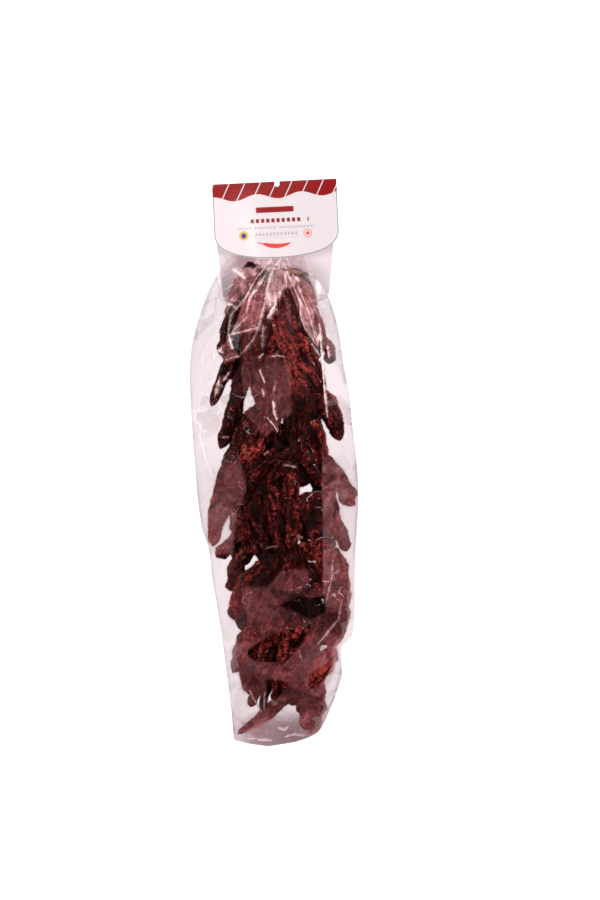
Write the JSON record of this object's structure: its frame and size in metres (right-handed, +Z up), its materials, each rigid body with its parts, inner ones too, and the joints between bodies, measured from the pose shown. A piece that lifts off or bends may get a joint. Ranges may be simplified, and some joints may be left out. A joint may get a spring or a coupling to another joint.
{
  "type": "bagged string of dried peppers",
  "caption": "Long dried red peppers on a string, in a clear film bag gathered under a folded header card with a hanging notch; lies face up.",
  "frame": {"origin": "middle of the object's box at the level it rests on", "axes": "+Z up from the surface it lies on, to the shown side; +Y along the string towards the card's fold; +X to the right as seen from above"},
  "size_m": [0.206, 0.6956, 0.0662],
  "materials": {
    "coated_card": "satin coated card, pale pinkish white",
    "film_over_peppers": "clear glossy film drawn over dark red wrinkled peppers"
  },
  "bodies": {
    "root": {"header_card": "coated_card", "filled_bag": "film_over_peppers"}
  },
  "joints": []
}
